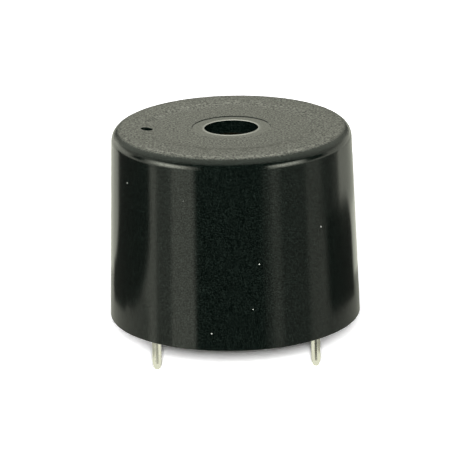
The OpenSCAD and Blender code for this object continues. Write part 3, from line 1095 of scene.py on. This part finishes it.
@dataclass
class Studio:
    """Pale floor, soft lamps, reflected cards and the camera.

    The floor's glow rises with the distance behind the buzzer, over glow_span in metres. The canopy's
    values are directions, as shares of a unit vector, and the brightness there.
    """

    floor_z: float = -5.8
    floor_half: float = 1500.0
    middle_z: float = 9.0
    layer_step: float = 0.05
    paint: str = "#fcffed"
    floor_grey: float = 0.5
    floor_gain: float = 1.65
    glow_span: Span = (0.01, 0.09)
    glow: Span = (0.02, 0.7)
    world_light: float = 0.05
    canopy_lean: float = 0.55
    canopy_edge: Span = (0.26, 0.34)
    canopy_edge_light: Span = (0.08, 1.0)
    canopy_fall: Span = (0.4, 1.0)
    canopy_fall_light: Span = (0.5, 0.95)
    canopy_back: Span = (0.5, 0.8)
    canopy_rise: Span = (0.05, 0.65)
    canopy_rise_light: Span = (0.03, 0.95)
    card_steps: int = 60
    panel_steps: tuple[int, int] = (40, 20)
    camera_distance: float = 375.0
    camera_elevation: float = 17.71
    camera_roll: float = 1.3
    camera_target: tuple[float, float, float] = (0.126, 0.0, 7.518)
    lens: float = 302.5
    sensor: float = 36.0
    clip: Span = (0.01, 10.0)

    def build(self) -> None:
        """Builds the studio.

        The floor comes first, then what lights the buzzer or shows in its gloss, and the camera last.
        """
        self.floor()
        for card in CARDS:
            self.card(card)
        for panel in PANELS:
            self.panel(panel)
        for softbox in SOFTBOXES:
            self.lamp(softbox)
        self.world()
        self.camera()

    def floor(self) -> None:
        """Builds the floor: white to the camera and to reflections, and it keeps the buzzer's shadow.

        Seen from below it is clear, so that the buzzer's underside can be looked at.
        """
        material = bpy.data.materials.new("painted_board_matt")
        tree = emptied(material)
        rays = node(tree, "LightPath").outputs
        paint = node(tree, "BsdfDiffuse", [(*[self.floor_grey] * 3, 1.0)])
        # The lamps fall off behind the buzzer, so the floor's own glow rises there
        place = node(tree, "SeparateXYZ", [node(tree, "TexCoord").outputs["Object"]])
        rise = node(tree, "MapRange", (place.outputs["Y"], *self.glow_span, *self.glow),
                    interpolation_type="SMOOTHSTEP")
        glow = node(tree, "Emission", {"Strength": rise})
        bright = node(tree, "BsdfDiffuse", [(*[self.floor_gain] * 3, 1.0)])
        seen = node(tree, "AddShader", (bright, glow))
        to_camera = node(tree, "MixShader", (rays["Is Camera Ray"], paint, seen))
        mirrored = node(tree, "Math", (rays["Is Glossy Ray"], rays["Is Transmission Ray"]),
                        operation="MAXIMUM")
        white = node(tree, "Emission", (linear(self.paint), 1.0))
        both = node(tree, "MixShader", (mirrored, to_camera, white))
        below = node(tree, "NewGeometry").outputs["Backfacing"]
        under = node(tree, "MixShader", (below, both, node(tree, "BsdfTransparent")))
        node(tree, "OutputMaterial", [under])
        x, y = np.array([[-1, 1, 1, -1], [-1, -1, 1, 1]]) * self.floor_half
        made = solid("floor", np.stack([x, y, np.full(4, self.floor_z)], axis=1), [[0, 1, 2, 3]])
        made.data.materials.append(material)

    def card(self, card: Card) -> None:
        """Builds one card.

        A ray that the surface reflects at angle p leaves it at 2 p, so the card's point at (p, s) is the
        surface's point at p plus s along 2 p. Its cover is a smooth step of the distance to a rounded
        rectangle in (p, s).

        Args:
            card: The card's band, reach and brightness.
        """
        across, along = (card.end - card.start) / 2, (card.far - card.near) / 2 / MM_PER_DEGREE
        reach, share = across + card.soft, np.linspace(0, 1, self.card_steps)
        u, v = np.meshgrid(2 * reach * share - reach, 2 * along * share ** 2 - along, indexing="ij")
        corner = np.minimum(np.array(card.corners)[(u > 0) + 2 * (v > 0)], min(across, along))
        over_u, over_v = np.abs(u) - across + corner, np.abs(v) - along + corner
        outside = (np.hypot(np.maximum(over_u, 0), np.maximum(over_v, 0))
                   + np.minimum(np.maximum(over_u, over_v), 0) - corner)
        p = np.radians(u + (card.start + card.end) / 2)
        s = (v + along) * MM_PER_DEGREE + card.near
        facing = math.radians(card.facing)
        foot, turn = p + facing, 2 * p + facing
        points = np.stack([card.x + card.radius * np.sin(foot) + s * np.sin(turn),
                           -card.radius * np.cos(foot) - s * np.cos(turn),
                           np.full_like(p, self.floor_z + self.layer_step * (card.layer + 1))], axis=2)
        self.mirrored(card.name, points, smooth(0.5 - outside / card.soft), card.level)

    def panel(self, panel: Panel) -> None:
        """Builds one panel.

        Its point at azimuth a and elevation e is distance * (sin a cos e, -cos a cos e, sin e) from the
        buzzer's middle. Its cover is the product of two smooth steps, one of the way to its sides and one of
        the way to its top and foot.

        Args:
            panel: The panel's place and brightness.
        """
        half = np.array([panel.end - panel.start, panel.high - panel.low]) / 2
        reach = half + np.array(panel.soft) / 2
        u, v = np.meshgrid(*(np.linspace(-end, end, steps) for end, steps in zip(reach, self.panel_steps)),
                           indexing="ij")
        cover = smooth((reach - np.abs(np.stack([u, v], axis=2))) / panel.soft).prod(2)
        a, e = np.radians(u + (panel.start + panel.end) / 2), np.radians(v + (panel.low + panel.high) / 2)
        aim = np.stack([np.sin(a) * np.cos(e), -np.cos(a) * np.cos(e), np.sin(e)], axis=2)
        self.mirrored(panel.name, aim * panel.distance + [0.0, 0.0, self.middle_z], cover, panel.level)

    def mirrored(self, name: str, points: np.ndarray, cover: np.ndarray, level: float) -> None:
        """Makes a sheet that only reflections see.

        Args:
            name: Name of the sheet.
            points: Grid of points in millimetres.
            cover: For each point, from 0 where the sheet is clear to 1 where it is solid.
            level: Its brightness, where 1 is white.
        """
        material = bpy.data.materials.new("sheet_" + name)
        tree = emptied(material)
        share = node(tree, "Attribute", attribute_name="cover").outputs["Fac"]
        shade = node(tree, "Emission", (linear(self.paint), level))
        both = node(tree, "MixShader", (share, node(tree, "BsdfTransparent"), shade))
        node(tree, "OutputMaterial", [both])
        index = np.arange(cover.size).reshape(cover.shape)
        faces = np.stack([index[:-1, :-1], index[1:, :-1], index[1:, 1:], index[:-1, 1:]], axis=2)
        made = solid(name, points.reshape(-1, 3), faces.reshape(-1, 4).tolist())
        made.data.materials.append(material)
        made.data.attributes.new("cover", "FLOAT", "POINT").data.foreach_set("value", cover.ravel())
        made.visible_camera = made.visible_diffuse = made.visible_shadow = made.visible_transmission = False

    def lamp(self, box: Softbox) -> None:
        """Builds one soft lamp.

        Args:
            box: Its place, size and light.
        """
        data = bpy.data.lights.new(box.name, "AREA")
        data.shape = "RECTANGLE"
        data.size, data.size_y = box.size
        data.energy = LAMP_WATTS * box.light * box.distance ** 2
        made = bpy.data.objects.new(box.name, data)
        turn, rise = math.radians(box.azimuth), math.radians(box.elevation)
        aim = np.array([math.sin(turn) * math.cos(rise), -math.cos(turn) * math.cos(rise), math.sin(rise)])
        self.place(made, np.array([0, 0, self.middle_z * MM]) + aim * box.distance, -aim)
        made.visible_glossy = False

    def world(self) -> None:
        """Builds the world: even grey light, white to the camera, and to gloss a canopy over a dark room.

        The canopy hangs overhead, and its front edge is a plane that leans. Straight behind the buzzer it
        comes down to the horizon and darkens evenly on the way.
        """
        world = bpy.data.worlds.new("studio")
        tree = emptied(world)
        rays = node(tree, "LightPath").outputs
        way = node(tree, "SeparateXYZ", [node(tree, "TexCoord").outputs["Generated"]]).outputs
        lean = node(tree, "Math", (way["Y"], self.canopy_lean, way["Z"]), operation="MULTIPLY_ADD")
        edge = node(tree, "MapRange", (lean, *self.canopy_edge, *self.canopy_edge_light),
                    interpolation_type="SMOOTHSTEP")
        fall = node(tree, "MapRange", (lean, *self.canopy_fall, *self.canopy_fall_light))
        front = node(tree, "Math", (edge, fall), operation="MULTIPLY")
        behind = node(tree, "MapRange", (way["Y"], *self.canopy_back), interpolation_type="SMOOTHSTEP")
        rise = node(tree, "MapRange", (way["Z"], *self.canopy_rise, *self.canopy_rise_light))
        wall = node(tree, "Mix", {0: behind, 2: front, 3: rise})
        mirrored = node(tree, "Math", (rays["Is Glossy Ray"], rays["Is Transmission Ray"]),
                        operation="MAXIMUM")
        light = node(tree, "Background", (WHITE, self.world_light))
        gloss = node(tree, "Background", (linear(self.paint), wall))
        white = node(tree, "Background", (WHITE, 1.0))
        lit = node(tree, "MixShader", (mirrored, light, gloss))
        both = node(tree, "MixShader", (rays["Is Camera Ray"], lit, white))
        node(tree, "OutputWorld", [both])
        bpy.context.scene.world = world

    def camera(self) -> None:
        """Builds the camera at the photograph's angle.

        It is rolled a little, as the photograph is.
        """
        rise = math.radians(self.camera_elevation)
        aim = np.array([0.0, math.cos(rise), -math.sin(rise)])
        data = bpy.data.cameras.new("camera")
        data.lens, data.sensor_width, data.sensor_fit = self.lens, self.sensor, "HORIZONTAL"
        data.clip_start, data.clip_end = self.clip
        made = bpy.data.objects.new("camera", data)
        place = np.array(self.camera_target) - aim * self.camera_distance
        self.place(made, place * MM, aim, math.radians(self.camera_roll))
        bpy.context.scene.camera = made

    def place(self, made: Object, place: np.ndarray, aim: np.ndarray, roll: float = 0.0) -> None:
        """Puts a lamp or the camera in its place.

        Args:
            made: The lamp or camera.
            place: Where it stands, in metres.
            aim: Unit vector along which it looks.
            roll: Turn about its own axis, in radians.
        """
        right = np.cross(aim, [0.0, 0.0, 1.0])
        right /= np.linalg.norm(right)
        up = np.cross(right, aim)
        across = math.cos(roll) * right - math.sin(roll) * up
        along = math.sin(roll) * right + math.cos(roll) * up
        matrix = np.eye(4)
        matrix[:3] = np.stack([across, along, -aim, place], axis=1)
        bpy.context.scene.collection.objects.link(made)
        made.matrix_world = Matrix(matrix.tolist())


def main() -> None:
    """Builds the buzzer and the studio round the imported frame.
    """
    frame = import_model()
    logging.basicConfig(level=logging.INFO, format="%(name)s: %(message)s")
    polished = PolishedAbs("abs_moulded_polished").make()
    # A finer erosion leaves the dish more even than the top; its paler grey is painted sheen, and a pale
    # ring at the hole's lip is a painted highlight
    satin = SparkedAbs("abs_moulded_satin", "#515249", "#77786f", 0.15, 0.006, (0.4, 0.5), lip_highlight_r=2.55).make()
    # The top's grey is partly painted sheen, and its darkening where the pits end near the edge is partly
    # painted shade
    sparked = SparkedAbs("abs_moulded_spark_eroded", pit_end_span=(10.51, 10.87)).make()
    tin = DrawnTin("brass_wire_tinned_drawn").make()
    # Cast resin sets with a smooth, glossy skin that sags a little
    resin = Mottled("epoxy_resin_cast", "#1c1c1b", "#131313", 1.5, 0.02, roughness=(0.12, 0.22)).make()
    Case.from_frame().build({Face.POLISHED: polished, Face.SPARKED: sparked, Face.SATIN: satin})
    BoardRibs().build(polished)
    for name in ("positive_pin", "negative_pin"):
        Pin.from_frame(name).build(tin)
    SealBead.from_frame().build(resin)
    Inside(frame["nodes"]).dress()
    Studio().build()
    bpy.context.scene.view_settings.view_transform = "Standard"


if __name__ == "__main__":
    main()
